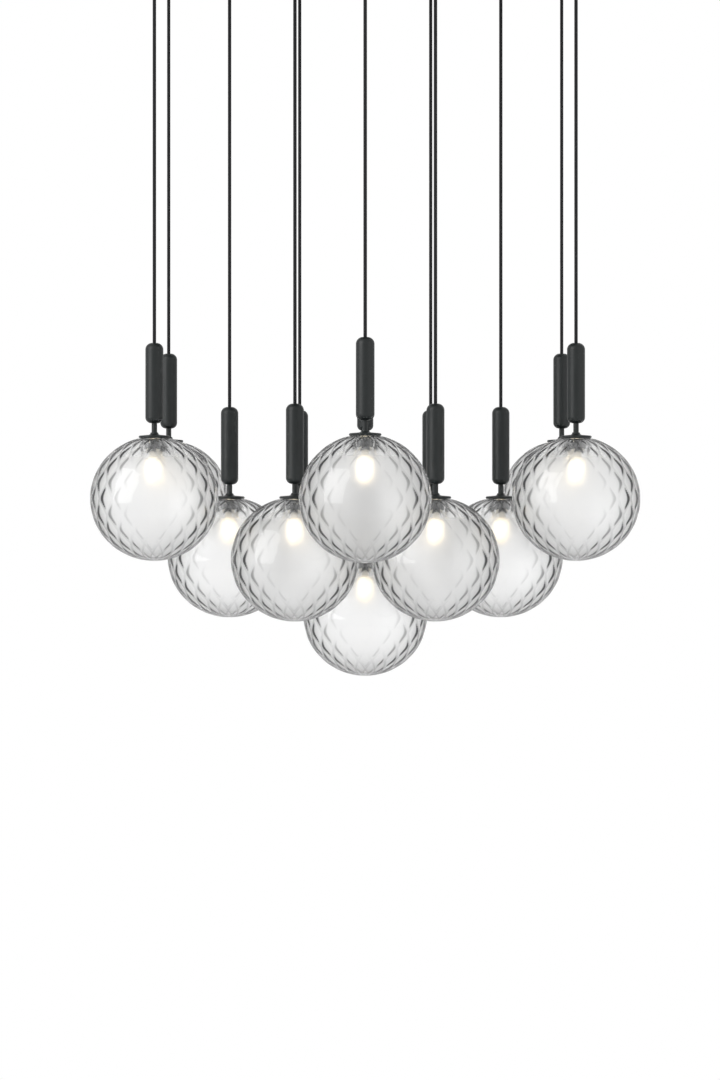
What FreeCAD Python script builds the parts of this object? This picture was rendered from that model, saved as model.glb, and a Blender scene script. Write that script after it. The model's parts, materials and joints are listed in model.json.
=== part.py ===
"""Cluster pendant: thirteen clear diamond-optic glass globes hung on thin textile cords from one round
ceiling canopy. Seen from above the globes stand in a star: one in the middle, six round it and six
outside those. The outer six hang highest, the inner six lower and the middle one lowest.

Frame: millimetres, +Z up. The origin is the middle of the ceiling bracket's top face, which lies on the
ceiling, so everything hangs below zero. -Y is the side that faces the viewer.
"""

import FreeCAD, Part
import math
import os

V = FreeCAD.Vector

# ---------------------------------------------------------------- driving dimensions
# layout of the cluster
globe_gap = 13.0  # free space between neighbouring globes
places_in_ring = 6
level_drop = 66.0  # each level hangs this much lower than the one outside it
outer_cord = 445.0  # free cord of the outer ring, from the gland's mouth to the grip

# glass globe
globe_diameter = 140.0
globe_height = 135.4  # of the full, slightly flattened ball, before its top is cut off for the neck
globe_wall = 3.0
dimple_depth = 1.2  # how far the middle of each diamond is pressed in
diamond_columns = 20  # diamonds round the equator
diamond_steps = 6  # half diamonds from the equator to a pole
neck_bore = 27.0  # of the glass neck, which is turned inwards and screws onto the cap
neck_wall = 2.4
neck_length = 12.0
hollow_steps = 8  # straight runs of the inside from the equator to a pole

# cap that closes the globe, with the lampholder in it
cap_diameter = 34.0
cap_edge = 2.9  # thickness at the rim
cap_crown = 0.8  # rise from the rim to the stem
cap_fillet = 2.6  # hollow round where the cap runs up into its collar
cap_collar = 1.1  # width of the collar round the stem
spigot_height = 13.0
holder_diameter = 18.0
holder_length = 14.1
holder_roof = 3.0  # metal left over the lampholder

# stem and grip
stem_diameter = 6.0
stem_bore = 3.6
stem_showing = 13.4  # from the rim of the cap to the grip
stem_thread = 9.0  # length of the stem inside the grip
grip_diameter = 19.6
grip_length = 87.5
grip_round = 6.6  # rounding of the lower end
grip_wall = 2.6
grip_floor = 10.0
lid_height = 9.0  # top of the grip, a separate screwed-in lid
lid_round = 7.4
lid_thread = 6.0

# lamp
lamp_diameter = 16.0
lamp_length = 28.0
lamp_shoulder = 2.0
lamp_base_width = 13.5
lamp_base_depth = 9.0
lamp_base_height = 8.0
lamp_base_round = 2.2
pin_diameter = 1.2
pin_pitch = 9.0
pin_length = 8.0
lead_diameter = 1.3
lead_pitch = 1.7

# cord and its gland in the canopy
cord_diameter = 3.8
cord_seat = 7.0  # length of cord held in the grip's lid
gland_diameter = 12.0
gland_drop = 12.0  # how far the gland stands below the canopy
gland_flange = 2.0
gland_flange_diameter = 16.0
gland_edge = 1.5
gland_shank = 10.0
gland_shank_length = 7.0  # above the canopy's floor
trumpet_depth = 2.5  # from the gland's mouth up to the point where the cord bends
swing_out = 20.0  # degrees that the gland's mouth lets a pendant swing outwards
nut_across_flats = 15.0
nut_height = 4.0
stop_diameter = 9.0
stop_height = 6.0

# canopy
canopy_margin = 30.0  # from the outer ring of glands to the canopy's edge
canopy_depth = 40.0
canopy_wall = 1.5
canopy_corner = 10.0
shadow_gap = 1.0  # between the canopy's rim and the ceiling

# ceiling bracket
bracket_thickness = 2.5
bracket_hub_diameter = 150.0
bracket_arm_width = 34.0
bracket_arms = 4
tab_height = 24.0
screw_hole_diameter = 5.5
screw_circle = 320.0
supply_hole_diameter = 22.0
side_screw_diameter = 3.5
side_screw_depth = 13.0  # below the ceiling
side_screw_head_diameter = 8.0
side_screw_head_height = 2.2
side_screw_slope = 1.2  # of the head's rim, along the radius
side_screw_reach = 3.0  # past the tab's inner face

# connection box
box_across = 92.0
box_height = 19.0
box_edge = 2.0
box_entry_depth = 12.0  # of the supply cable's entry, under the bracket's hole
tail_radius = 9.0  # of the bend where a cord's tail turns towards the box
tail_rise = 1.5  # straight tail above the cord stop

# clearances
turning = 0.3  # between pieces that turn or slide on each other
fitted = 0.2  # round pieces that are put together by hand
cord_clearance = 0.5  # round the cord in its gland

# ---------------------------------------------------------------- places worked out from them
step_across = globe_diameter + globe_gap
half_place = math.pi / places_in_ring
inner_ring = step_across / (2 * math.sin(half_place))
outer_ring = inner_ring * math.cos(half_place) + step_across * math.sin(math.pi / 3)
canopy_radius = outer_ring + canopy_margin
cord_radius = cord_diameter / 2
canopy_floor = -canopy_depth + canopy_wall
gland_mouth = -(canopy_depth + gland_drop)
bend_point = gland_mouth + trumpet_depth
gland_top = canopy_floor + gland_shank_length
stop_top = gland_top + stop_height
box_low = -bracket_thickness - box_height

step_angle = math.pi / 2 / diamond_steps
top_step = diamond_steps - 1  # last row of diamond corners below the neck

# heights above the middle of a pendant's globe
seat = globe_height / 2 * math.sin(top_step * step_angle)  # flat ground top of the glass
cap_under = seat + turning
cap_rim = cap_under + cap_edge
grip_bottom = cap_rim + stem_showing
grip_top = grip_bottom + grip_length
lid_joint = grip_top - lid_height
holder_top = cap_rim - holder_roof
holder_bottom = holder_top - holder_length
lamp_seat = holder_bottom - turning
lamp_top = lamp_seat - lamp_base_height
stem_top = grip_bottom + stem_thread
cord_end = grip_top - cord_seat


def pendants():
    """Every pendant's place: radius, direction outwards in degrees and free cord length."""
    step = 360.0 / places_in_ring
    found = [(outer_ring, 270 + step * i, outer_cord) for i in range(places_in_ring)]
    found += [(inner_ring, 270 - step / 2 + step * i, outer_cord + level_drop) for i in range(places_in_ring)]
    found.append((0.0, 270.0, outer_cord + 2 * level_drop))
    return found


def place(radius, degrees, height=0.0):
    """A point at that radius and direction in plan."""
    angle = math.radians(degrees)
    return V(radius * math.cos(angle), radius * math.sin(angle), height)


def globe_middle(cord):
    """Height of the middle of the globe on a free cord of that length."""
    return gland_mouth - cord - grip_top


# ---------------------------------------------------------------- basic shapes
def bend(radius, height, size, start, end):
    """Middle and end of an arc of that size about the point at radius and height, in degrees."""
    points = ()
    for degrees in ((start + end) / 2, end):
        a = math.radians(degrees)
        points += (radius + size * math.cos(a), height + size * math.sin(a))
    return points


def turned(*outline):
    """Solid of revolution about Z of a closed outline of radii and heights. An item of four numbers is
    the middle and end of an arc."""
    edges = []
    here = V(outline[0][0], 0, outline[0][1])
    for item in outline[1:] + outline[:1]:
        end = V(item[-2], 0, item[-1])
        if end.distanceToPoint(here) < 1e-6:
            continue
        if len(item) == 4:
            edges.append(Part.Arc(here, V(item[0], 0, item[1]), end).toShape())
        else:
            edges.append(Part.makeLine(here, end))
        here = end
    return Part.Face(Part.Wire(edges)).revolve(V(0, 0, 0), V(0, 0, 1), 360)


def rod(radius, low, high, at=V(0, 0, 0)):
    """Upright cylinder between two heights, at a place in plan."""
    return Part.makeCylinder(radius, high - low, V(at.x, at.y, low))


def level_rod(radius, near, far, degrees, height):
    """Level cylinder between two radii, pointing outwards."""
    shape = Part.makeCylinder(radius, far - near, V(near, 0, height), V(1, 0, 0))
    shape.rotate(V(0, 0, 0), V(0, 0, 1), degrees)
    return shape


def prism(sides, across_flats, low, high, facing):
    """Upright prism with that many sides, one of them facing that direction, in degrees."""
    corner = across_flats / 2 / math.cos(math.pi / sides)
    ring = [place(corner, facing + (i + 0.5) * 360.0 / sides, low) for i in range(sides)]
    return Part.Face(Part.makePolygon(ring + ring[:1])).extrude(V(0, 0, high - low))


# ---------------------------------------------------------------- glass globe
def diamond_corner(row, column, sunk=0.0):
    """Point of the diamond net on the flattened ball, sunk by that much."""
    latitude = row * step_angle
    longitude = column * math.pi / diamond_columns - math.pi / 2
    across = (globe_diameter / 2 - sunk) * math.cos(latitude)
    height = (globe_height / 2 - sunk) * math.sin(latitude)
    return V(across * math.cos(longitude), across * math.sin(longitude), height)


def facet(*corners):
    """Flat face through corners. Corners that fall together at the pole count once."""
    ring = []
    for c in corners:
        if all(c.distanceToPoint(r) > 1e-6 for r in ring):
            ring.append(c)
    return [Part.Face(Part.makePolygon(ring + ring[:1]))] if len(ring) > 2 else []


def diamond(row, column):
    """Four facets from the corners of one diamond down to its sunk middle."""
    middle = diamond_corner(row, column, dimple_depth)
    ring = [
        diamond_corner(row + 1, column),
        diamond_corner(row, column + 1),
        diamond_corner(row - 1, column),
        diamond_corner(row, column - 1),
    ]
    faces = []
    for i in range(4):
        faces += facet(middle, ring[i], ring[(i + 1) % 4])
    return faces


def globe():
    """Blown ball with its outside pressed into rows of diamonds, smooth inside, with a neck turned
    inwards at the top. The diamonds of one row stand over the joints of the row below."""
    faces = []
    columns = range(2 * diamond_columns)
    for row in range(1 - diamond_steps, top_step):
        for column in columns:
            if (row + column) % 2:
                faces += diamond(row, column)
    for column in columns:
        if (top_step + column) % 2:
            faces += facet(
                diamond_corner(top_step, column - 1),
                diamond_corner(top_step - 1, column),
                diamond_corner(top_step, column + 1),
            )
    faces += facet(*[diamond_corner(top_step, c) for c in columns if (top_step + c) % 2 == 0])
    ball = Part.Solid(Part.makeShell(faces))
    if ball.Volume < 0:
        ball.reverse()
    return ball.cut(globe_hollow())


def globe_hollow():
    """Space inside the glass, round the inward neck and out through its bore. Its oval is turned from
    short straight runs."""
    across = globe_diameter / 2 - globe_wall
    half = globe_height / 2 - globe_wall
    neck_outside = neck_bore / 2 + neck_wall
    span = math.pi / 2 + math.acos(neck_outside / across)
    runs = round(span / math.pi * 2 * hollow_steps)
    slopes = [span * i / runs - math.pi / 2 for i in range(1, runs + 1)]
    above = seat + globe_wall
    return turned(
        (0, -half),
        *[(across * math.cos(a), half * math.sin(a)) for a in slopes],
        (neck_outside, seat - neck_length),
        (neck_bore / 2, seat - neck_length),
        (neck_bore / 2, above),
        (0, above),
    )


# ---------------------------------------------------------------- metalwork of a pendant
def cap():
    """Round cap on the glass, with the spigot that the neck screws onto, the lampholder's recess, and a
    hollow round up to the hollow stem that carries it."""
    rim = cap_diameter / 2
    edge = cap_edge / 2
    crown = cap_rim + cap_crown
    tube = stem_diameter / 2
    collar = tube + cap_collar
    spigot = neck_bore / 2 - turning
    recess = holder_diameter / 2 + fitted
    return turned(
        (stem_bore / 2, stem_top),
        (tube, stem_top),
        (tube, crown + cap_fillet),
        (collar, crown + cap_fillet),
        bend(collar + cap_fillet, crown + cap_fillet, cap_fillet, 180, 270),
        (rim - edge, cap_rim),
        bend(rim - edge, cap_rim - edge, edge, 90, -90),
        (spigot, cap_under),
        (spigot, cap_under - spigot_height),
        (recess, cap_under - spigot_height),
        (recess, holder_top),
        (stem_bore / 2, holder_top),
    )


def grip_body():
    """Turned cylinder with a rounded lower end, hollow above its floor, open at the top for the lid."""
    outside = grip_diameter / 2
    inside = outside - grip_wall
    hole = stem_diameter / 2 + fitted
    end = min(grip_round, outside - hole)
    return turned(
        (hole, grip_bottom),
        (outside - end, grip_bottom),
        bend(outside - end, grip_bottom + end, end, -90, 0),
        (outside, lid_joint),
        (inside, lid_joint),
        (inside, grip_bottom + grip_floor),
        (hole, grip_bottom + grip_floor),
    )


def grip_lid():
    """Domed top of the grip, screwed into it, with the bore that holds the cord."""
    outside = grip_diameter / 2
    thread = outside - grip_wall - fitted
    bore = cord_radius + fitted
    end = min(lid_round, outside - bore, lid_height)
    return turned(
        (bore, grip_top),
        (outside - end, grip_top),
        bend(outside - end, grip_top - end, end, 90, 0),
        (outside, lid_joint),
        (thread, lid_joint),
        (thread, lid_joint - lid_thread),
        (bore, lid_joint - lid_thread),
    )


# ---------------------------------------------------------------- lampholder and lamp
def at_pins():
    """Where the lamp's two pins stand in plan."""
    return [V(side * pin_pitch / 2, 0, 0) for side in (-1, 1)]


def lampholder():
    """Ceramic holder with two pin holes below."""
    body = rod(holder_diameter / 2, holder_bottom, holder_top)
    deep = lamp_seat + pin_length + fitted
    holes = [rod(pin_diameter / 2 + fitted, holder_bottom, deep, at) for at in at_pins()]
    return body.cut(Part.makeCompound(holes))


def leads():
    """Two insulated wires from the lampholder up through the stem to the end of the cord."""
    sides = [V(side * lead_pitch / 2, 0, 0) for side in (-1, 1)]
    return [rod(lead_diameter / 2, holder_top, cord_end, at) for at in sides]


def lamp_base():
    """Flat base of the plug-in lamp with its two pins."""
    corner = V(-lamp_base_width / 2, -lamp_base_depth / 2, lamp_top)
    base = Part.makeBox(lamp_base_width, lamp_base_depth, lamp_base_height, corner)
    base = base.makeFillet(lamp_base_round, [e for e in base.Edges if abs(e.tangentAt(0).z) > 0.9])
    pins = [rod(pin_diameter / 2, lamp_seat, lamp_seat + pin_length, at) for at in at_pins()]
    return base.multiFuse(pins)


def lamp_envelope():
    """Frosted capsule of the lamp, with a round lower end."""
    radius = lamp_diameter / 2
    low = lamp_top - lamp_length
    return turned(
        (0, low),
        bend(0, low + radius, radius, -90, 0),
        (radius, lamp_top - lamp_shoulder),
        bend(radius - lamp_shoulder, lamp_top - lamp_shoulder, lamp_shoulder, 0, 90),
        (0, lamp_top),
    )


# ---------------------------------------------------------------- cords and glands
def free_cord(cord):
    """Straight cord from its bending point in the gland down into the grip's lid, with a round upper
    end about the point where it bends."""
    end = gland_mouth - cord - cord_seat
    return turned(
        (0, end),
        (cord_radius, end),
        (cord_radius, bend_point),
        bend(0, bend_point, cord_radius, 0, 90),
    )


def gland():
    """Cord gland: flange against the canopy, shank through it, and a trumpet mouth that lets the cord
    swing."""
    under = -canopy_depth
    bore = cord_radius + cord_clearance
    reach = math.radians(swing_out)
    mouth = trumpet_depth * math.tan(reach) + cord_radius / math.cos(reach) + cord_clearance
    body = max(gland_diameter / 2, mouth + gland_edge)
    flange = max(gland_flange_diameter / 2, body)
    return turned(
        (mouth, gland_mouth),
        (body - gland_edge, gland_mouth),
        bend(body - gland_edge, gland_mouth + gland_edge, gland_edge, -90, 0),
        (body, under - gland_flange),
        (flange, under - gland_flange),
        (flange, under),
        (gland_shank / 2, under),
        (gland_shank / 2, gland_top),
        (bore, gland_top),
        (bore, bend_point),
    )


def gland_nut():
    """Hexagon lock nut on the gland's shank, inside the canopy."""
    high = canopy_floor + nut_height
    nut = prism(6, nut_across_flats, canopy_floor, high, 0)
    return nut.cut(rod(gland_shank / 2 + fitted, canopy_floor, high))


def cord_stop():
    """Ring clamped on the cord's tail, which keeps the cord from slipping down through the gland."""
    ring = rod(stop_diameter / 2, gland_top, stop_top)
    return ring.cut(rod(cord_radius + fitted, gland_top, stop_top))


def tail(radius, degrees):
    """The cord's tail: up through the gland and the stop, then level to the connection box."""
    start = bend_point + cord_radius + cord_clearance
    if radius == 0:
        return rod(cord_radius, start, box_low)
    turn_low = stop_top + tail_rise
    level = turn_low + tail_radius
    low, turn = V(radius, 0, start), V(radius, 0, turn_low)
    slant = tail_radius * math.sqrt(0.5)
    middle = V(radius - tail_radius + slant, 0, turn_low + slant)
    out = V(radius - tail_radius, 0, level)
    runs = [
        Part.makeLine(low, turn),
        Part.Arc(turn, middle, out).toShape(),
        Part.makeLine(out, V(box_across / 2, 0, level)),
    ]
    ring = Part.Wire(Part.makeCircle(cord_radius, low, V(0, 0, 1)))
    tube = Part.Wire(runs).makePipeShell([ring], True, False)
    tube.rotate(V(0, 0, 0), V(0, 0, 1), degrees)
    return tube


# ---------------------------------------------------------------- canopy and bracket
def connection_box():
    """Closed box under the bracket with one side for each tail, its lower edge chamfered, and the supply
    cable's entry in its top."""
    box = prism(2 * places_in_ring, box_across, box_low, -bracket_thickness, 270)
    box = box.makeChamfer(box_edge, [e for e in box.Edges if e.BoundBox.ZMax < box_low + 1e-3])
    return box.cut(rod(supply_hole_diameter / 2, -bracket_thickness - box_entry_depth, -bracket_thickness))


def canopy_shell():
    """Shallow spun dish, open towards the ceiling, with holes for the glands and the side screws."""
    outside = canopy_radius
    inside = outside - canopy_wall
    turn = outside - canopy_corner
    height = canopy_corner - canopy_depth
    dish = turned(
        (0, -canopy_depth),
        (turn, -canopy_depth),
        bend(turn, height, canopy_corner, -90, 0),
        (outside, -shadow_gap),
        (inside, -shadow_gap),
        (inside, height),
        bend(turn, height, canopy_corner - canopy_wall, 0, -90),
        (0, canopy_floor),
    )
    gland_hole = gland_shank / 2 + fitted
    holes = [rod(gland_hole, -canopy_depth, canopy_floor, place(r, d)) for r, d, _ in pendants()]
    screw_hole = side_screw_diameter / 2 + fitted
    holes += [level_rod(screw_hole, tab_face(), outside, d, -side_screw_depth) for d in arms()]
    return dish.cut(Part.makeCompound(holes))


def arms():
    """Direction of each bracket arm, in degrees."""
    return [i * 360.0 / bracket_arms for i in range(bracket_arms)]


def tab_face():
    """Distance from the middle to the outer face of a bracket tab, clear of the canopy's round wall."""
    inside = canopy_radius - canopy_wall
    return math.sqrt(inside**2 - (bracket_arm_width / 2) ** 2) - turning


def ceiling_bracket():
    """Pressed steel spider: round hub with the supply hole, flat arms, and tabs bent down at their ends."""
    reach = tab_face()
    wide, thick = bracket_arm_width, bracket_thickness
    plate = rod(bracket_hub_diameter / 2, -thick, 0)
    holes = [rod(supply_hole_diameter / 2, -thick, 0)]
    for degrees in arms():
        arm = Part.makeBox(reach, wide, thick, V(0, -wide / 2, -thick))
        tab = Part.makeBox(thick, wide, tab_height, V(reach - thick, -wide / 2, -tab_height))
        piece = arm.fuse(tab)
        piece.rotate(V(0, 0, 0), V(0, 0, 1), degrees)
        plate = plate.fuse(piece)
        holes.append(rod(screw_hole_diameter / 2, -thick, 0, place(screw_circle / 2, degrees)))
        holes.append(level_rod(side_screw_diameter / 2, reach - thick, reach, degrees, -side_screw_depth))
    return plate.cut(Part.makeCompound(holes)).removeSplitter()


def side_screw(degrees):
    """Round-headed screw through the canopy's wall into a bracket tab."""
    tip = tab_face() - bracket_thickness - side_screw_reach
    crown = canopy_radius + side_screw_head_height
    head = side_screw_head_diameter / 2
    shank = side_screw_diameter / 2 - fitted
    screw = turned(
        (0, tip),
        (shank, tip),
        (shank, canopy_radius),
        (head, canopy_radius),
        (head, crown - side_screw_slope),
        (head - side_screw_slope, crown),
        (0, crown),
    )
    screw.rotate(V(0, 0, 0), V(0, 1, 0), 90)
    screw.translate(V(0, 0, -side_screw_depth))
    screw.rotate(V(0, 0, 0), V(0, 0, 1), degrees)
    return screw


# ---------------------------------------------------------------- assembly
def save(name, *solids):
    """Writes one node's solids as one STEP file."""
    shape = solids[0] if len(solids) == 1 else Part.makeCompound(list(solids))
    shape.exportStep(os.path.join("parts", name + ".step"))


def main():
    os.makedirs("parts", exist_ok=True)
    spots = [place(r, d) for r, d, _ in pendants()]
    save("ceiling_bracket", ceiling_bracket())
    save("canopy_shell", canopy_shell())
    save("connection_box", connection_box())
    save("side_screws", *[side_screw(d) for d in arms()])
    save("cord_glands", *[gland().translated(p) for p in spots])
    save("gland_nuts", *[gland_nut().translated(p) for p in spots])
    save("cord_stops", *[cord_stop().translated(p) for p in spots])
    save("cord_tails", *[tail(r, d) for r, d, _ in pendants()])
    glass = globe()
    metal = [grip_body(), grip_lid(), cap(), lampholder()] + leads()
    light = [lamp_base(), lamp_envelope()]
    for number, (radius, degrees, cord) in enumerate(pendants(), 1):
        name = "pendant_%02d_" % number
        to = place(radius, degrees, globe_middle(cord))
        save(name + "cord", free_cord(cord).translated(place(radius, degrees)))
        save(name + "grip", *[s.translated(to) for s in metal])
        save(name + "lamp", *[s.translated(to) for s in light])
        save(name + "globe", glass.translated(to))


main()
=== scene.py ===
import bpy, json, math
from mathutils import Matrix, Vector


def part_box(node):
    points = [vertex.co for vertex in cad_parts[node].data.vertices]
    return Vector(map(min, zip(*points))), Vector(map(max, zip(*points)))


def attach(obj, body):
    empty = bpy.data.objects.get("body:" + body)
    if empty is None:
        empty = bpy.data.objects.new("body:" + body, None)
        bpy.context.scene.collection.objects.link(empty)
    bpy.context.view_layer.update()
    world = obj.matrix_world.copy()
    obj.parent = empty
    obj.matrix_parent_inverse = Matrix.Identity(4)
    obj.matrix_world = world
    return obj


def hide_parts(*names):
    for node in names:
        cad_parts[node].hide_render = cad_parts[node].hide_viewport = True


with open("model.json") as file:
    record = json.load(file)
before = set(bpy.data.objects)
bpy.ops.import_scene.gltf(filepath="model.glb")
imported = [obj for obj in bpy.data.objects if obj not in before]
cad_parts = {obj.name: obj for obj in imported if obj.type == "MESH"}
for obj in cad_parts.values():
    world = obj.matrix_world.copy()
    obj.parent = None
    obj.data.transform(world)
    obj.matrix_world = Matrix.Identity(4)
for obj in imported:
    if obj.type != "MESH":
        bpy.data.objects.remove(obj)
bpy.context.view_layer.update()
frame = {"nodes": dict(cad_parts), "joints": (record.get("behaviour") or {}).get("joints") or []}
scene = bpy.context.scene

# Cluster pendant: thirteen clear globes with a pressed diamond net, on dark grips and thin textile cords,
# under one round canopy. Metres, +Z up, the ceiling at zero.
PENDANTS = ["%02d" % number for number in range(1, 14)]
SWINGS = {joint["child"]: joint for joint in frame["joints"] if joint["name"].startswith("swing_")}

# glass, as in the part's own sizes
GLOBE_RADIUS = 0.0698
GLOBE_HALF_HEIGHT = 0.0677
GLASS_WALL = 0.003
DIMPLE_DEPTH = 0.0013
DIAMOND_COLUMNS = 20
DIAMOND_STEPS = 6
NECK_BORE = 0.0135
NECK_OUTSIDE = 0.0159
NECK_LENGTH = 0.012
NECK_BEVEL = 0.0008
SHOULDER_GAP = 0.001  # between the neck's outside and the inner skin
RELIEF_SHARE = 0.12  # how much of the pressed relief bends the light
NECK_RELIEF_SHARE = 0.7  # the same, round the neck
# painted shade on the outside glass: the width of the ridges painted dark, the bands of facing over which
# each painted dark mark comes in, and the dark colour they are painted with
PAINTED_RIDGE_WIDTH = 0.17  # of a diamond
PAINTED_LIMB_BAND = (0.66, 0.95)  # bands of facing, 0 square on and 1 edge on, over which each mark comes in
PAINTED_STROKE_BAND = (0.05, 0.36)
PAINTED_SHADE_BAND = (0.2, 0.7)
PAINTED_RIDGE_BAND = (0.2, 0.7)
PAINTED_MARKS_BEHIND = 0.25  # how strongly a globe's marks show through the glass before it
GLASS_SOFTNESS = 0.36
GLASS_TINT = (0.996, 0.997, 0.997, 1)
GLASS_PAINTED_SHADE = (0.012, 0.012, 0.013, 1)
CORD_RADIUS = 0.0019
LAMP_BASE_BOTTOM = 0.0433  # this and the next heights are above the globe's middle
HOLDER_TOP = 0.0657
LEADS_BOTTOM = 0.0656
HOLDER_RADIUS = 0.00905
LEADS_REACH = 0.0016  # from the pendant's axis
FILAMENT_HEIGHT = 0.42  # of the lamp's height
LAMP_DIM = (0.4, 0.33, 0.25, 1)


# ---------------------------------------------------------------- node helpers
def new_material(name):
    material = bpy.data.materials.new(name)
    material.use_nodes = True
    material.node_tree.nodes.clear()
    return material, material.node_tree


def add(tree, kind, **values):
    """A node of that kind. Keys are its properties, or its inputs where a property has no such name."""
    node = tree.nodes.new(kind)
    for key, value in values.items():
        if hasattr(node, key):
            setattr(node, key, value)
        else:
            socket = node.inputs[key.replace("_", " ")]
            if isinstance(value, bpy.types.NodeSocket):
                tree.links.new(value, socket)
            else:
                socket.default_value = value
    return node


def maths(tree, operation, *values):
    node = tree.nodes.new("ShaderNodeMath")
    node.operation = operation
    for socket, value in zip(node.inputs, values):
        if isinstance(value, bpy.types.NodeSocket):
            tree.links.new(value, socket)
        else:
            socket.default_value = value
    return node.outputs[0]


def vectors(tree, operation, one, other=None):
    node = tree.nodes.new("ShaderNodeVectorMath")
    node.operation = operation
    socket = node.inputs["Scale"] if operation == "SCALE" else node.inputs[1]
    tree.links.new(one, node.inputs[0])
    if isinstance(other, bpy.types.NodeSocket):
        tree.links.new(other, socket)
    elif other is not None:
        socket.default_value = other
    return node.outputs[0]


def blend_colours(tree, amount, low, high):
    node = tree.nodes.new("ShaderNodeMix")
    node.data_type = "RGBA"
    for socket, value in ((node.inputs[0], amount), (node.inputs[6], low), (node.inputs[7], high)):
        if isinstance(value, bpy.types.NodeSocket):
            tree.links.new(value, socket)
        else:
            socket.default_value = value
    return node.outputs[2]


def spread(tree, value, low, high, to_low, to_high, ease="LINEAR"):
    node = add(tree, "ShaderNodeMapRange", interpolation_type=ease)
    tree.links.new(value, node.inputs[0])
    for socket, number in zip(node.inputs[1:5], (low, high, to_low, to_high)):
        socket.default_value = number
    return node.outputs[0]


def new_group(name, inputs, outputs):
    tree = bpy.data.node_groups.new(name, "ShaderNodeTree")
    for label, kind, value in inputs:
        socket = tree.interface.new_socket(label, in_out="INPUT", socket_type=kind)
        if value is not None:
            socket.default_value = value
    for label, kind in outputs:
        tree.interface.new_socket(label, in_out="OUTPUT", socket_type=kind)
    return tree, tree.nodes.new("NodeGroupInput").outputs, tree.nodes.new("NodeGroupOutput").inputs


def use_group(tree, group, **values):
    node = tree.nodes.new("ShaderNodeGroup")
    node.node_tree = group
    for key, value in values.items():
        socket = node.inputs[key.replace("_", " ")]
        if isinstance(value, bpy.types.NodeSocket):
            tree.links.new(value, socket)
        else:
            socket.default_value = value
    return node


def finish_surface(tree, shader):
    output = tree.nodes.new("ShaderNodeOutputMaterial")
    tree.links.new(shader.outputs[0], output.inputs[0])


# ---------------------------------------------------------------- shared effects
def powder_grain_group():
    """Fine orange-peel of a powder coat, with slow mottle and handling marks."""
    tree, given, out = new_group(
        "powder_grain",
        [("Vector", "NodeSocketVector", None), ("Grain Size", "NodeSocketFloat", 1400.0),
         ("Colour", "NodeSocketColor", (0.1, 0.1, 0.1, 1)),
         ("Worn Colour", "NodeSocketColor", (0.2, 0.2, 0.2, 1)), ("Roughness", "NodeSocketFloat", 0.5)],
        [("Colour", "NodeSocketColor"), ("Roughness", "NodeSocketFloat"), ("Height", "NodeSocketFloat")],
    )
    fine = add(tree, "ShaderNodeTexNoise", Vector=given["Vector"], Scale=given["Grain Size"], Detail=2.0)
    slow = add(tree, "ShaderNodeTexNoise", Vector=given["Vector"], Scale=34.0, Detail=5.0, Roughness=0.62)
    marks = add(tree, "ShaderNodeTexNoise", Vector=given["Vector"], Scale=210.0, Detail=3.0, Roughness=0.7)
    mottle = spread(tree, slow.outputs[0], 0.35, 0.68, 0.0, 1.0)
    rubbed = maths(tree, "MULTIPLY", mottle, spread(tree, marks.outputs[0], 0.55, 0.72, 0.0, 0.5))
    worn = maths(tree, "ADD", maths(tree, "MULTIPLY", mottle, 0.22), rubbed)
    tree.links.new(blend_colours(tree, worn, given["Colour"], given["Worn Colour"]), out["Colour"])
    lift = spread(tree, slow.outputs[0], 0.3, 0.7, -0.06, 0.08)
    tree.links.new(maths(tree, "ADD", given["Roughness"], lift), out["Roughness"])
    swell = maths(tree, "MULTIPLY", slow.outputs[0], 0.3)
    tree.links.new(maths(tree, "ADD", fine.outputs[0], swell), out["Height"])
    return tree


def braid_group():
    """Textile braid: strands wound both ways round an upright cord, over and under each other, with a mask
    for painted shade in the crevices between strands.
    """
    tree, given, out = new_group(
        "textile_braid",
        [("Vector", "NodeSocketVector", None), ("Strands", "NodeSocketFloat", 10.0),
         ("Lay", "NodeSocketFloat", 0.011)],
        [("Height", "NodeSocketFloat"), ("Painted Crevice Shade", "NodeSocketFloat"), ("Fuzz", "NodeSocketFloat")],
    )
    parts = add(tree, "ShaderNodeSeparateXYZ", Vector=given["Vector"])
    turn = maths(tree, "ARCTAN2", parts.outputs[1], parts.outputs[0])
    along = maths(tree, "MULTIPLY", maths(tree, "DIVIDE", parts.outputs[2], given["Lay"]), math.tau)
    around = maths(tree, "MULTIPLY", turn, given["Strands"])
    wound = maths(tree, "MULTIPLY", along, maths(tree, "MULTIPLY", given["Strands"], 0.5))
    one = maths(tree, "SINE", maths(tree, "ADD", around, wound))
    other = maths(tree, "SINE", maths(tree, "SUBTRACT", around, wound))
    height = maths(tree, "MAXIMUM", maths(tree, "ABSOLUTE", one), maths(tree, "ABSOLUTE", other))
    tree.links.new(height, out["Height"])
    # mask for painted shade: 0 in the crevices between strands, 1 on their tops
    tree.links.new(spread(tree, height, 0.35, 0.95, 0.0, 1.0), out["Painted Crevice Shade"])
    fuzz = add(tree, "ShaderNodeTexNoise", Vector=given["Vector"], Scale=5200.0, Detail=2.0)
    tree.links.new(fuzz.outputs[0], out["Fuzz"])
    return tree


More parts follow.
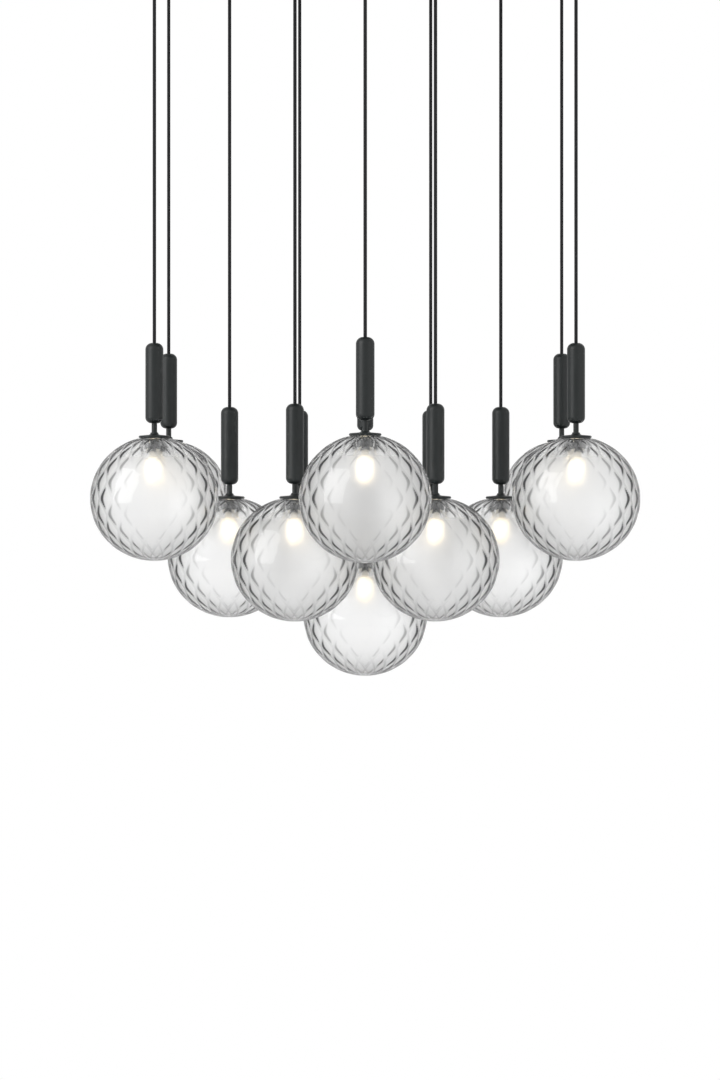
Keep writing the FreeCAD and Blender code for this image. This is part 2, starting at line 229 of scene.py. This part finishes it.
def blown_group():
    """What blowing leaves in glass: slow waves, and a few seeds, which are tiny bubbles."""
    tree, given, out = new_group(
        "blown_glass",
        [("Vector", "NodeSocketVector", None), ("Wave Size", "NodeSocketFloat", 26.0),
         ("Seed Size", "NodeSocketFloat", 300.0)],
        [("Height", "NodeSocketFloat"), ("Seeds", "NodeSocketFloat")],
    )
    waves = add(tree, "ShaderNodeTexNoise", Vector=given["Vector"], Scale=given["Wave Size"], Detail=2.0,
                Roughness=0.45)
    cells = add(tree, "ShaderNodeTexVoronoi", Vector=given["Vector"], Scale=given["Seed Size"],
                Randomness=1.0)
    rare = add(tree, "ShaderNodeTexNoise", Vector=given["Vector"], Scale=60.0, Detail=1.0)
    small = spread(tree, cells.outputs["Distance"], 0.0, 0.22, 1.0, 0.0)
    seeds = maths(tree, "MULTIPLY", small, spread(tree, rare.outputs[0], 0.58, 0.62, 0.0, 1.0))
    tree.links.new(seeds, out["Seeds"])
    bumps = maths(tree, "MULTIPLY", seeds, 0.05)
    tree.links.new(maths(tree, "ADD", waves.outputs[0], bumps), out["Height"])
    return tree


def diamond_net_group():
    """How near a point of the globe is to a ridge of its diamond net: 1 on it, 0 in the diamonds."""
    tree, given, out = new_group(
        "diamond_net",
        [("Vector", "NodeSocketVector", None), ("Line Width", "NodeSocketFloat", 0.1)],
        [("Ridge", "NodeSocketFloat")],
    )
    x, y, z = add(tree, "ShaderNodeSeparateXYZ", Vector=given["Vector"]).outputs
    turn = maths(tree, "ARCTAN2", x, maths(tree, "MULTIPLY", y, -1.0))
    column = maths(tree, "MULTIPLY", turn, DIAMOND_COLUMNS / math.pi)
    squares = maths(tree, "ADD", maths(tree, "MULTIPLY", x, x), maths(tree, "MULTIPLY", y, y))
    rise = maths(tree, "ARCTAN2", z, maths(tree, "SQRT", squares))
    row = maths(tree, "MULTIPLY", rise, 2 * DIAMOND_STEPS / math.pi)
    away = [
        maths(tree, "PINGPONG", maths(tree, "MULTIPLY", maths(tree, slant, column, row), 0.5), 0.5)
        for slant in ("ADD", "SUBTRACT")
    ]
    share = maths(tree, "DIVIDE", maths(tree, "MINIMUM", *away), given["Line Width"])
    fall = maths(tree, "POWER", maths(tree, "MINIMUM", share, 1.0), 1.5)
    tree.links.new(maths(tree, "SUBTRACT", 1.0, fall), out["Ridge"])
    return tree


POWDER, BRAID, BLOWN, NET = powder_grain_group(), braid_group(), blown_group(), diamond_net_group()


# ---------------------------------------------------------------- finishes
def powder_coat(name, colour, worn, roughness, bump=0.00002):
    material, tree = new_material(name)
    where = add(tree, "ShaderNodeTexCoord").outputs["Object"]
    grain = use_group(tree, POWDER, Vector=where, Colour=colour, Worn_Colour=worn, Roughness=roughness)
    relief = add(tree, "ShaderNodeBump", Strength=0.5, Distance=bump, Height=grain.outputs["Height"])
    shader = add(tree, "ShaderNodeBsdfPrincipled", Base_Color=grain.outputs["Colour"],
                 Roughness=grain.outputs["Roughness"], Normal=relief.outputs[0])
    shader.inputs["Specular IOR Level"].default_value = 0.42
    finish_surface(tree, shader)
    return material


def plated(name, colour, roughness):
    material, tree = new_material(name)
    where = add(tree, "ShaderNodeTexCoord").outputs["Object"]
    grain = use_group(tree, POWDER, Vector=where, Grain_Size=700.0, Colour=colour,
                      Worn_Colour=[c * 0.7 for c in colour[:3]] + [1], Roughness=roughness)
    relief = add(tree, "ShaderNodeBump", Strength=0.3, Distance=0.00002, Height=grain.outputs["Height"])
    shader = add(tree, "ShaderNodeBsdfPrincipled", Base_Color=grain.outputs["Colour"], Metallic=1.0,
                 Roughness=grain.outputs["Roughness"], Normal=relief.outputs[0])
    finish_surface(tree, shader)
    return material


def textile(name):
    material, tree = new_material(name)
    where = add(tree, "ShaderNodeTexCoord").outputs["Object"]
    braid = use_group(tree, BRAID, Vector=where)
    # painted shade: the braid's colour is darker in the crevices between strands
    colour = blend_colours(tree, braid.outputs["Painted Crevice Shade"],
                           (0.004, 0.004, 0.005, 1), (0.016, 0.0165, 0.018, 1))
    fluff = maths(tree, "MULTIPLY", spread(tree, braid.outputs["Fuzz"], 0.5, 0.75, 0.0, 1.0), 0.3)
    colour = blend_colours(tree, fluff, colour, (0.05, 0.05, 0.052, 1))
    fuzz = maths(tree, "MULTIPLY", braid.outputs["Fuzz"], 0.4)
    height = maths(tree, "ADD", braid.outputs["Height"], fuzz)
    relief = add(tree, "ShaderNodeBump", Strength=0.8, Distance=0.00018, Height=height)
    shader = add(tree, "ShaderNodeBsdfPrincipled", Base_Color=colour, Normal=relief.outputs[0])
    shader.inputs["Roughness"].default_value = 0.85
    shader.inputs["Specular IOR Level"].default_value = 0.2
    shader.inputs["Sheen Weight"].default_value = 0.15
    finish_surface(tree, shader)
    return material


def ball_normal(tree, where):
    """The normal of a smooth ball there, outwards on its near side and inwards on its far one."""
    back = add(tree, "ShaderNodeNewGeometry").outputs["Backfacing"]
    out = add(tree, "ShaderNodeVectorTransform", vector_type="NORMAL", convert_from="OBJECT",
              convert_to="WORLD")
    tree.links.new(where, out.inputs[0])
    side = maths(tree, "SUBTRACT", 1.0, maths(tree, "MULTIPLY", back, 2.0))
    return vectors(tree, "SCALE", vectors(tree, "NORMALIZE", out.outputs[0]), side)


def between(tree, ball, pressed, share):
    """The ball's normal at share 0, the pressed one at 1, and the relief turned inside out below 0."""
    rest = maths(tree, "SUBTRACT", 1.0, share)
    return vectors(tree, "NORMALIZE", vectors(tree, "ADD", vectors(tree, "SCALE", ball, rest),
                                              vectors(tree, "SCALE", pressed, share)))


def facing_of(tree, normal):
    return add(tree, "ShaderNodeLayerWeight", Blend=0.5, Normal=normal).outputs["Facing"]


def glass_surface(tree, colour, normal, roughness, clear):
    """Clear glass that lets light through to what it shades."""
    where = add(tree, "ShaderNodeTexCoord").outputs["Object"]
    blown = use_group(tree, BLOWN, Vector=where)
    waves = add(tree, "ShaderNodeBump", Strength=0.3, Distance=0.0003, Height=blown.outputs["Height"],
                Normal=normal)
    shader = add(tree, "ShaderNodeBsdfPrincipled", Base_Color=colour, Roughness=roughness,
                 Normal=waves.outputs[0])
    shader.inputs["IOR"].default_value = 1.45
    shader.inputs["Specular IOR Level"].default_value = 0.3
    shader.inputs["Transmission Weight"].default_value = clear
    shadow = add(tree, "ShaderNodeLightPath").outputs["Is Shadow Ray"]
    through = add(tree, "ShaderNodeBsdfTransparent")
    through.inputs[0].default_value = (0.9, 0.9, 0.9, 1)
    mixed = tree.nodes.new("ShaderNodeMixShader")
    tree.links.new(shadow, mixed.inputs[0])
    tree.links.new(shader.outputs[0], mixed.inputs[1])
    tree.links.new(through.outputs[0], mixed.inputs[2])
    finish_surface(tree, mixed)


def pressed_glass():
    """Outside of a globe. Light bends mostly as in a smooth ball, and more by the relief round the neck.
    Its colour holds painted shade by view angle: it is painted darker towards the limb, and the far side
    of each diamond and the ridges between them are painted dark, with a soft painted shade beside them."""
    material, tree = new_material("pressed_glass_outside")
    where = add(tree, "ShaderNodeTexCoord").outputs["Object"]
    pressed = add(tree, "ShaderNodeNewGeometry").outputs["Normal"]
    ball = ball_normal(tree, where)
    height = add(tree, "ShaderNodeSeparateXYZ", Vector=where).outputs[2]
    share = spread(tree, height, 0.3 * GLOBE_HALF_HEIGHT, GLOBE_HALF_HEIGHT,
                   RELIEF_SHARE, NECK_RELIEF_SHARE, "SMOOTHERSTEP")
    bent = between(tree, ball, pressed, share)
    facing = facing_of(tree, bent)
    # painted limb shade: the glass colour is darkened towards the limb by view angle
    limb = maths(tree, "POWER", spread(tree, facing, *PAINTED_LIMB_BAND, 0.0, 1.0), 1.3)
    colour = blend_colours(tree, maths(tree, "MULTIPLY", limb, 0.85), GLASS_TINT, GLASS_PAINTED_SHADE)
    # painted dark strokes on the far side of each diamond, and a soft painted shade beside them, from how
    # much more the relief turns from view than the ball
    turned_away = maths(tree, "SUBTRACT", facing_of(tree, between(tree, ball, pressed, -1.0)), facing)
    painted_strokes = maths(tree, "MULTIPLY", spread(tree, turned_away, 0.05, 0.17, 0.0, 1.0),
                    spread(tree, facing, *PAINTED_STROKE_BAND, 0.0, 1.0))
    shade = maths(tree, "MULTIPLY", spread(tree, turned_away, -0.16, 0.12, 0.0, 0.5),
                  spread(tree, facing, *PAINTED_SHADE_BAND, 0.0, 1.0))
    painted_strokes = maths(tree, "MAXIMUM", painted_strokes, shade)
    # painted dark ridges of the diamond net, coming in towards the limb
    net = use_group(tree, NET, Vector=where, Line_Width=PAINTED_RIDGE_WIDTH)
    ridges = maths(tree, "MULTIPLY", net.outputs["Ridge"], spread(tree, facing, *PAINTED_RIDGE_BAND, 0.0, 0.85))
    # the painted marks are fainter for rays that come through another globe
    seen = add(tree, "ShaderNodeLightPath").outputs["Is Camera Ray"]
    in_sight = spread(tree, seen, 0.0, 1.0, PAINTED_MARKS_BEHIND, 1.0)
    marks = maths(tree, "MULTIPLY", maths(tree, "MAXIMUM", painted_strokes, ridges), in_sight)
    # the painted strokes, soft shade and ridges darken the glass colour
    glass_surface(tree, blend_colours(tree, marks, colour, GLASS_PAINTED_SHADE), bent, 0.0, 0.87)
    return material


def inside_glass():
    """Inside of a globe, seen through the wall: soft, as the diamonds scatter what lies behind them, and
    clear round the neck."""
    material, tree = new_material("smooth_glass_inside")
    where = add(tree, "ShaderNodeTexCoord").outputs["Object"]
    normal = add(tree, "ShaderNodeNewGeometry").outputs["Normal"]
    # painted limb shade: the inside's colour is darkened to grey towards the limb by view angle
    limb = maths(tree, "POWER", spread(tree, facing_of(tree, normal), 0.55, 1.0, 0.0, 1.0), 1.5)
    colour = blend_colours(tree, maths(tree, "MULTIPLY", limb, 0.6), GLASS_TINT, (0.5, 0.5, 0.5, 1))
    height = add(tree, "ShaderNodeSeparateXYZ", Vector=where).outputs[2]
    soft = spread(tree, height, 0.5 * GLOBE_HALF_HEIGHT, 0.95 * GLOBE_HALF_HEIGHT, GLASS_SOFTNESS, 0.02,
                  "SMOOTHSTEP")
    glass_surface(tree, colour, normal, soft, 1.0)
    return material


def frosted_lamp():
    """Frosted capsule, brightest round its filament and dimmer towards its tip and its base."""
    material, tree = new_material("frosted_lamp")
    places = add(tree, "ShaderNodeTexCoord").outputs
    frost = add(tree, "ShaderNodeTexNoise", Vector=places["Object"], Scale=900.0, Detail=3.0)
    colour = blend_colours(tree, spread(tree, frost.outputs[0], 0.3, 0.7, 0.0, 1.0),
                           (1, 0.86, 0.64, 1), (1, 0.9, 0.7, 1))
    height = add(tree, "ShaderNodeSeparateXYZ", Vector=places["Generated"]).outputs[2]
    off = maths(tree, "ABSOLUTE", maths(tree, "SUBTRACT", height, FILAMENT_HEIGHT))
    glow = blend_colours(tree, spread(tree, off, 0.06, 0.42, 0.0, 1.0, "SMOOTHSTEP"), colour, LAMP_DIM)
    relief = add(tree, "ShaderNodeBump", Strength=0.3, Distance=0.0001, Height=frost.outputs[0])
    shader = add(tree, "ShaderNodeBsdfPrincipled", Base_Color=colour, Emission_Color=glow,
                 Normal=relief.outputs[0])
    shader.inputs["Roughness"].default_value = 0.6
    shader.inputs["Emission Strength"].default_value = 1.2
    finish_surface(tree, shader)
    return material


def speckled(name, colour, speck, roughness, scale=500.0):
    """Ceramic or moulded plastic: fine specks and a slow change of tone."""
    material, tree = new_material(name)
    where = add(tree, "ShaderNodeTexCoord").outputs["Object"]
    grain = use_group(tree, POWDER, Vector=where, Grain_Size=scale, Colour=colour, Worn_Colour=speck,
                      Roughness=roughness)
    relief = add(tree, "ShaderNodeBump", Strength=0.3, Distance=0.00003, Height=grain.outputs["Height"])
    shader = add(tree, "ShaderNodeBsdfPrincipled", Base_Color=grain.outputs["Colour"],
                 Roughness=grain.outputs["Roughness"], Normal=relief.outputs[0])
    finish_surface(tree, shader)
    return material


GRIP_PAINT = powder_coat("grip_powder_coat", (0.009, 0.012, 0.012, 1), (0.02, 0.024, 0.025, 1), 0.4)
CANOPY_PAINT = powder_coat("canopy_powder_coat", (0.012, 0.015, 0.016, 1), (0.025, 0.029, 0.03, 1), 0.48)
TEXTILE = textile("cord_textile")
OUTER_GLASS = pressed_glass()
INNER_GLASS = inside_glass()
FROST = frosted_lamp()
CERAMIC = speckled("lampholder_ceramic", (0.78, 0.74, 0.66, 1), (0.6, 0.56, 0.5, 1), 0.5)
LAMP_BASE = speckled("lamp_base_plastic", (0.82, 0.79, 0.72, 1), (0.7, 0.66, 0.6, 1), 0.4)
BLACK_PLASTIC = speckled("gland_black_plastic", (0.012, 0.012, 0.013, 1), (0.03, 0.03, 0.03, 1), 0.45)
WHITE_PLASTIC = speckled("box_white_plastic", (0.75, 0.75, 0.73, 1), (0.62, 0.62, 0.6, 1), 0.45)
LEAD_PLASTIC = speckled("lead_insulation", (0.5, 0.5, 0.48, 1), (0.35, 0.35, 0.33, 1), 0.45)
ZINC = plated("bracket_zinc", (0.6, 0.61, 0.62, 1), 0.38)
BLACK_ZINC = plated("black_zinc_screws", (0.06, 0.06, 0.062, 1), 0.4)


# ---------------------------------------------------------------- frame nodes that stay
def repaint(node, *materials):
    piece = frame["nodes"][node]
    piece.data.materials.clear()
    for material in materials:
        piece.data.materials.append(material)
    return piece


for node, material in (
    ("ceiling_bracket", ZINC),
    ("canopy_shell", CANOPY_PAINT),
    ("connection_box", WHITE_PLASTIC),
    ("side_screws", BLACK_ZINC),
    ("cord_glands", BLACK_PLASTIC),
    ("gland_nuts", BLACK_PLASTIC),
    ("cord_stops", BLACK_PLASTIC),
    ("cord_tails", TEXTILE),
):
    repaint(node, material)


def pendant_axis(number):
    """Middle of the pendant's globe, from its box: x and y of its axis, and the height of its middle."""
    low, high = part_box("pendant_%s_globe" % number)
    x, y, _ = SWINGS["pendant_" + number]["pos_m"]
    return Vector((x, y, low[2] + GLOBE_HALF_HEIGHT))


# ---------------------------------------------------------------- glass globe
def relief(column, row):
    """0 on the ridges of the diamond net, 1 in the middle of a diamond."""
    across = abs(math.sin(math.pi * (column + row) / 2))
    along = abs(math.sin(math.pi * (column - row) / 2))
    hollow = across * along
    return 0.4 * hollow + 0.6 * (1 - math.exp(-((hollow / 0.26) ** 2)))


def globe_mesh():
    """Ball with the diamond net pressed in, smooth inside, with its inward neck. One closed skin."""
    fine = 8
    columns = 2 * DIAMOND_COLUMNS * fine
    step = math.pi / 2 / DIAMOND_STEPS
    rings = []
    for i in range(1, fine * (2 * DIAMOND_STEPS - 1) + 1):
        row = i / fine - DIAMOND_STEPS
        latitude = row * step
        fade = min(1.0, (DIAMOND_STEPS - 1 - row) * 4) * math.cos(latitude) ** 0.6
        ring = []
        for j in range(columns):
            sunk = DIMPLE_DEPTH * fade * relief(j / fine, row)
            out = (GLOBE_RADIUS - sunk) * math.cos(latitude)
            ring.append((out, (GLOBE_HALF_HEIGHT - sunk) * math.sin(latitude)))
        rings.append(ring)
    top = rings[-1][0][1]
    across, half = GLOBE_RADIUS - GLASS_WALL, GLOBE_HALF_HEIGHT - GLASS_WALL
    shoulder = half * math.sqrt(1 - (NECK_OUTSIDE / across) ** 2)
    for out, height in (
        (NECK_BORE + NECK_BEVEL, top), (NECK_BORE, top - NECK_BEVEL), (NECK_BORE, top - NECK_LENGTH),
        (NECK_OUTSIDE, top - NECK_LENGTH), (NECK_OUTSIDE, shoulder - SHOULDER_GAP),
    ):
        rings.append([(out, height)] * columns)
    inner = 60
    start = math.asin(shoulder / half)
    for i in range(inner):
        a = start - (start + math.pi / 2) * i / inner
        rings.append([(across * math.cos(a), half * math.sin(a))] * columns)
    points, faces = [], []
    for ring in rings:
        for j, (out, height) in enumerate(ring):
            a = j * math.tau / columns - math.pi / 2
            points.append((out * math.cos(a), out * math.sin(a), height))
    for i in range(len(rings) - 1):
        for j in range(columns):
            k = (j + 1) % columns
            faces.append((i * columns + j, i * columns + k, (i + 1) * columns + k, (i + 1) * columns + j))
    points += [(0, 0, -GLOBE_HALF_HEIGHT), (0, 0, -half)]
    outer_pole, inner_pole = len(points) - 2, len(points) - 1
    last = (len(rings) - 1) * columns
    for j in range(columns):
        k = (j + 1) % columns
        faces.append((outer_pole, k, j))
        faces.append((inner_pole, last + j, last + k))
    mesh = bpy.data.meshes.new("globe_glass")
    mesh.from_pydata(points, [], faces)
    mesh.polygons.foreach_set("use_smooth", [True] * len(mesh.polygons))
    mesh.set_sharp_from_angle(angle=math.radians(50))
    mesh.materials.append(OUTER_GLASS)
    mesh.materials.append(INNER_GLASS)
    pressed_faces = (fine * (2 * DIAMOND_STEPS - 1) - 1) * columns
    for face in mesh.polygons:
        if face.index >= pressed_faces and (len(face.vertices) == 4 or face.index % 2):
            face.material_index = 1
    mesh.update()
    return mesh


GLOBE_MESH = globe_mesh()


def hang_globe(number):
    globe = bpy.data.objects.new("globe_%s_glass" % number, GLOBE_MESH)
    globe.location = pendant_axis(number)
    scene.collection.objects.link(globe)
    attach(globe, "globe_" + number)
    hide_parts("pendant_%s_globe" % number)


# ---------------------------------------------------------------- cords
def hang_cord(number):
    """Taut textile cord from the gland to the grip's lid."""
    low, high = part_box("pendant_%s_cord" % number)
    x, y, _ = SWINGS["pendant_" + number]["pos_m"]
    length = high[2] - low[2]
    line = bpy.data.curves.new("cord_%s_line" % number, "CURVE")
    line.dimensions = "3D"
    line.bevel_depth = CORD_RADIUS
    line.bevel_resolution = 5
    line.use_fill_caps = True
    spline = line.splines.new("NURBS")
    spline.points.add(3)
    for i, point in enumerate(spline.points):
        point.co = (0, 0, -length * i / 3, 1)
    spline.order_u = 3
    spline.use_endpoint_u = True
    spline.resolution_u = 3
    line.materials.append(TEXTILE)
    cord = bpy.data.objects.new("cord_%s_textile" % number, line)
    cord.location = (x, y, high[2])
    scene.collection.objects.link(cord)
    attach(cord, "pendant_" + number)
    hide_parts("pendant_%s_cord" % number)


# ---------------------------------------------------------------- lamps and grips
def paint_faces(piece, rules):
    """Gives each face the material of the first rule whose test its middle passes."""
    for face in piece.data.polygons:
        for index, test in rules:
            if test(face.center):
                face.material_index = index
                break


def dress_pendant(number):
    middle = pendant_axis(number)
    hang_cord(number)
    hang_globe(number)
    lamp = repaint("pendant_%s_lamp" % number, FROST, LAMP_BASE)
    paint_faces(lamp, [(1, lambda c: c.z > middle.z + LAMP_BASE_BOTTOM), (0, lambda c: True)])
    grip = repaint("pendant_%s_grip" % number, GRIP_PAINT, CERAMIC, LEAD_PLASTIC)
    paint_faces(grip, [
        (1, lambda c: c.z < middle.z + HOLDER_TOP and (c.xy - middle.xy).length < HOLDER_RADIUS),
        (2, lambda c: c.z > middle.z + LEADS_BOTTOM and (c.xy - middle.xy).length < LEADS_REACH),
        (0, lambda c: True),
    ])


for number in PENDANTS:
    dress_pendant(number)


# ---------------------------------------------------------------- stage, light and camera
FLOOR_HEIGHT = -2.4
FLOOR_RADIUS = 4.2
CAMERA_PLACE = (0, -3.764, -0.668)
PHOTO_HEIGHT = 1080  # pixels
SHIFT_RIGHT, SHIFT_UP = -5.2, -40.0  # pixels of the photograph
CLUSTER_MIDDLE = (0, 0, -0.6)


def stage_floor():
    """Pale round floor under the light, which runs out into the white of the backdrop."""
    material, tree = new_material("studio_floor")
    where = add(tree, "ShaderNodeTexCoord").outputs["Object"]
    far = add(tree, "ShaderNodeVectorMath", operation="LENGTH")
    tree.links.new(where, far.inputs[0])
    fade = spread(tree, far.outputs["Value"], 0.3 * FLOOR_RADIUS, 0.95 * FLOOR_RADIUS, 0.0, 1.0)
    grain = add(tree, "ShaderNodeTexNoise", Vector=where, Scale=60.0, Detail=3.0)
    tone = blend_colours(tree, grain.outputs[0], (0.86, 0.86, 0.86, 1), (0.9, 0.9, 0.9, 1))
    pale = add(tree, "ShaderNodeBsdfDiffuse", Color=tone)
    white = add(tree, "ShaderNodeEmission")
    mixed = tree.nodes.new("ShaderNodeMixShader")
    tree.links.new(fade, mixed.inputs[0])
    tree.links.new(pale.outputs[0], mixed.inputs[1])
    tree.links.new(white.outputs[0], mixed.inputs[2])
    finish_surface(tree, mixed)
    mesh = bpy.data.meshes.new("studio_floor")
    ring = 96
    edge = []
    for i in range(ring):
        a = i * math.tau / ring
        edge.append((FLOOR_RADIUS * math.cos(a), FLOOR_RADIUS * math.sin(a), 0))
    mesh.from_pydata(edge, [], [tuple(range(ring))])
    mesh.materials.append(material)
    floor = bpy.data.objects.new("studio_floor", mesh)
    floor.location.z = FLOOR_HEIGHT
    scene.collection.objects.link(floor)


def studio_world():
    """White to the camera and in glass, a softer grey for what it lights."""
    world = bpy.data.worlds.new("studio_white")
    world.use_nodes = True
    tree = world.node_tree
    tree.nodes.clear()
    path = add(tree, "ShaderNodeLightPath").outputs
    seen = maths(tree, "MAXIMUM", path["Is Camera Ray"], path["Is Transmission Ray"])
    strength = spread(tree, seen, 0.0, 1.0, 0.7, 1.0)
    background = add(tree, "ShaderNodeBackground")
    tree.links.new(strength, background.inputs["Strength"])
    background.inputs["Color"].default_value = (1, 1, 1, 1)
    output = tree.nodes.new("ShaderNodeOutputWorld")
    tree.links.new(background.outputs[0], output.inputs[0])
    scene.world = world


def softbox(name, place, aim, width, height, watts):
    data = bpy.data.lights.new(name, "AREA")
    data.shape = "RECTANGLE"
    data.size, data.size_y = width, height
    data.energy = watts
    lamp = bpy.data.objects.new(name, data)
    lamp.location = place
    lamp.rotation_mode = "QUATERNION"
    lamp.rotation_quaternion = (Vector(aim) - Vector(place)).to_track_quat("-Z", "Y")
    scene.collection.objects.link(lamp)


def set_camera():
    """Level with the outer globes, far off, as the photograph is taken."""
    data = bpy.data.cameras.new("viewpoint")
    data.sensor_width = 36.0
    data.lens = 111.2
    data.shift_x = SHIFT_RIGHT / PHOTO_HEIGHT
    data.shift_y = SHIFT_UP / PHOTO_HEIGHT
    camera = bpy.data.objects.new("viewpoint", data)
    camera.location = CAMERA_PLACE
    camera.rotation_euler = (math.pi / 2, 0, 0)
    scene.collection.objects.link(camera)
    scene.camera = camera


stage_floor()
studio_world()
softbox("key_left", (-2.8, -2.0, 0.6), CLUSTER_MIDDLE, 2.6, 3.6, 75)
softbox("fill_right", (3.0, -2.2, -0.2), CLUSTER_MIDDLE, 3.6, 3.6, 14)
set_camera()
scene.view_settings.view_transform = "Standard"
scene.cycles.max_bounces = 32
scene.cycles.transmission_bounces = 32
scene.cycles.glossy_bounces = 8
scene.cycles.transparent_max_bounces = 32
